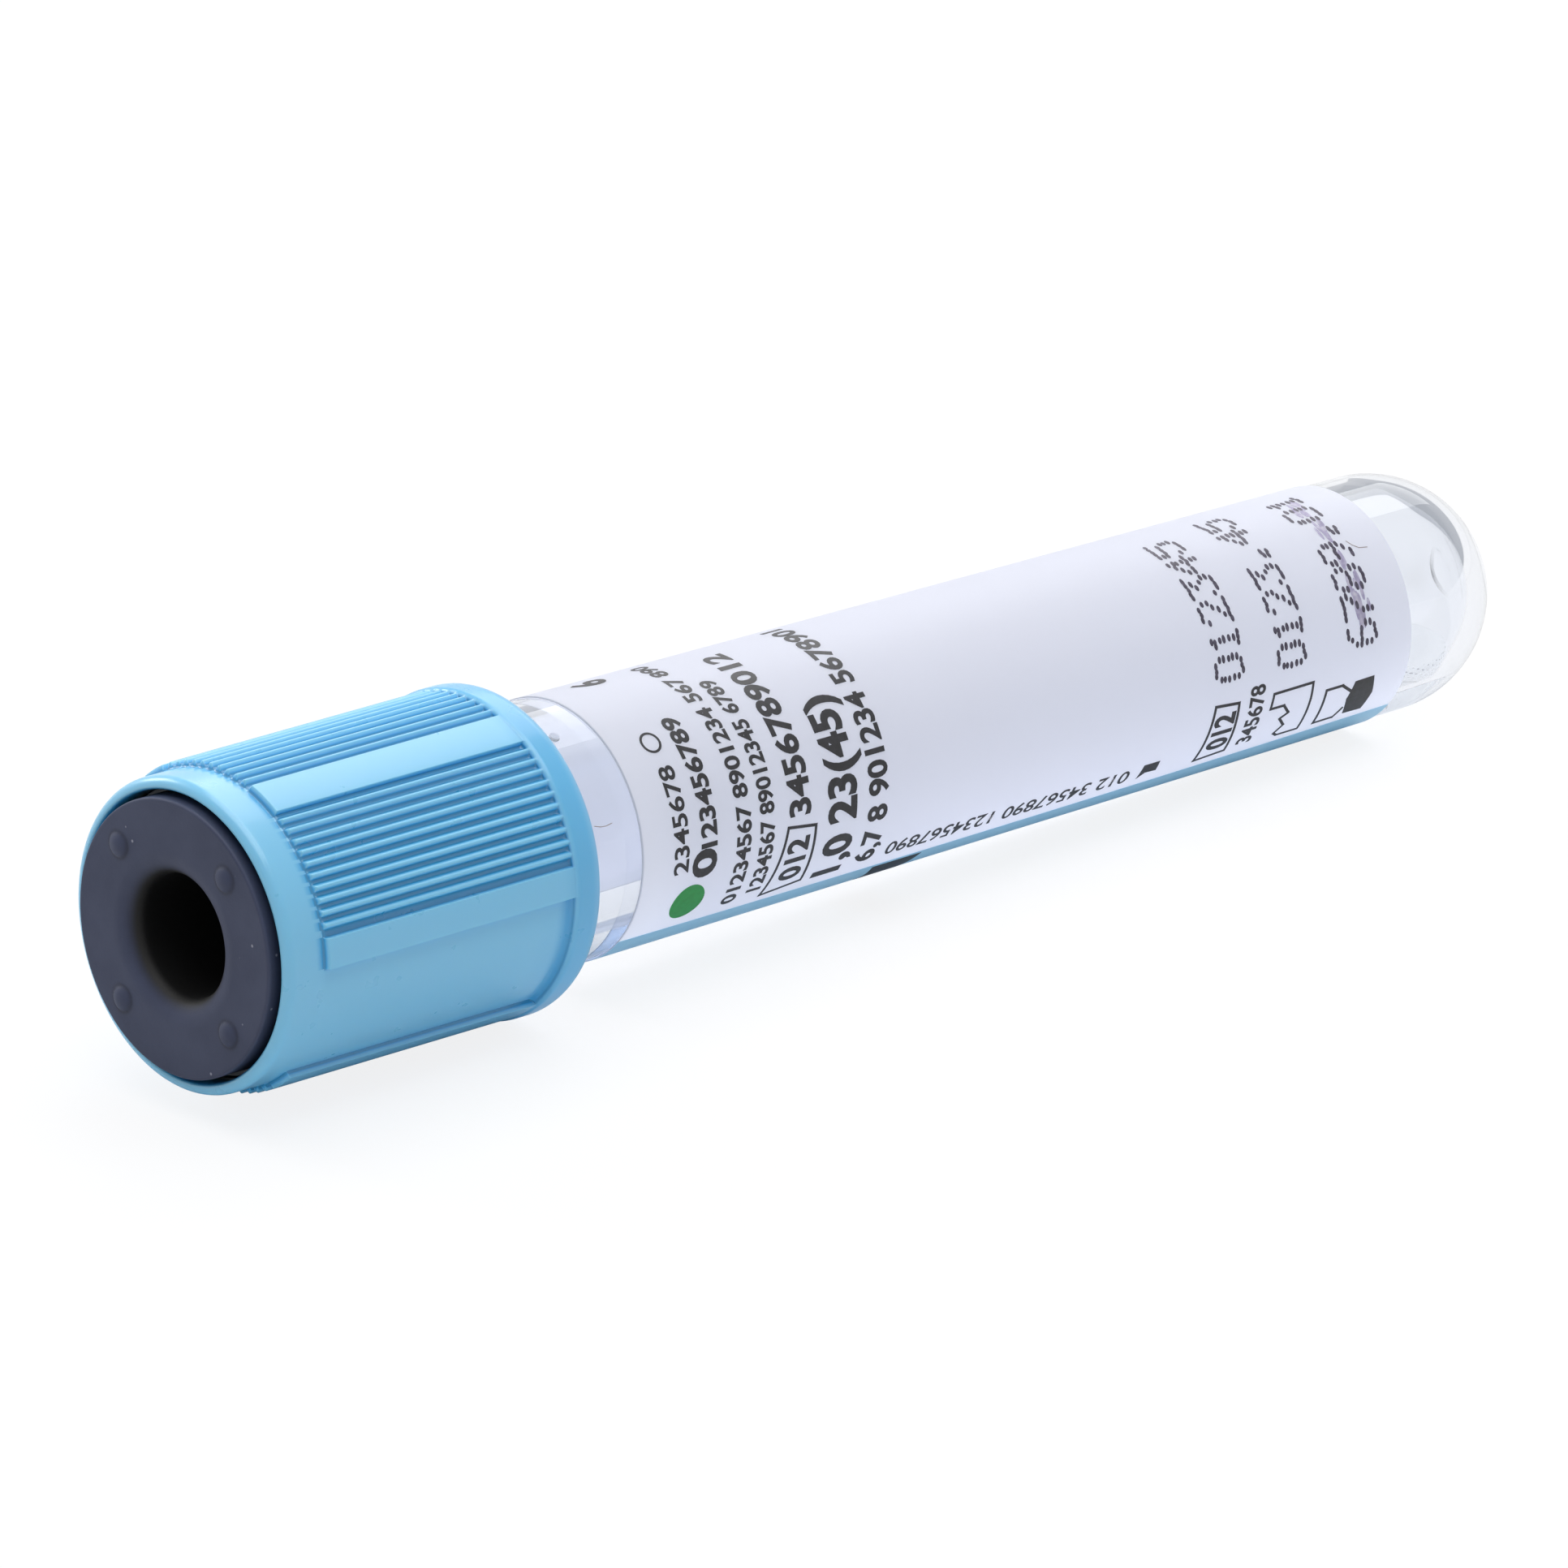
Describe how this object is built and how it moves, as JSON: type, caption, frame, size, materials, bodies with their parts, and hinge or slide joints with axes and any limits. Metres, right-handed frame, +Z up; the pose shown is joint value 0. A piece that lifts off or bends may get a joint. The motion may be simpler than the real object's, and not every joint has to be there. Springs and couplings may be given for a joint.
{
  "type": "blood collection tube",
  "caption": "Lying blood collection tube, clear and round-ended, with a wrapped label, a rubber stopper with a needle well, and a ribbed push-on safety cap.",
  "frame": {"origin": "on the surface that the tube lies on, under the middle of the whole object", "axes": "+X along the lying tube, from the cap to the round end; +Z up; the tube's own axis leans down by 2.13 degrees towards +X, because the cap's flange is wider than the round end"},
  "size_m": [0.0834, 0.0162, 0.0166],
  "materials": {
    "clear_plastic": "clear and polished",
    "stopper_rubber": "matt dark blue-grey",
    "cap_plastic": "satin light blue, slightly translucent",
    "label_film": "satin white, printed in dark grey, green and light blue",
    "clear_solution": "clear liquid"
  },
  "bodies": {
    "tube_body": {"tube": "clear_plastic", "label": "label_film", "solution": "clear_solution"},
    "closure": {"stopper": "stopper_rubber", "cap": "cap_plastic"}
  },
  "joints": [
    {"name": "closure_pull", "type": "slide", "parent": "tube_body", "child": "closure", "axis": [-0.9993, 0, 0.0371], "range_m": [0, 0.02]}
  ]
}
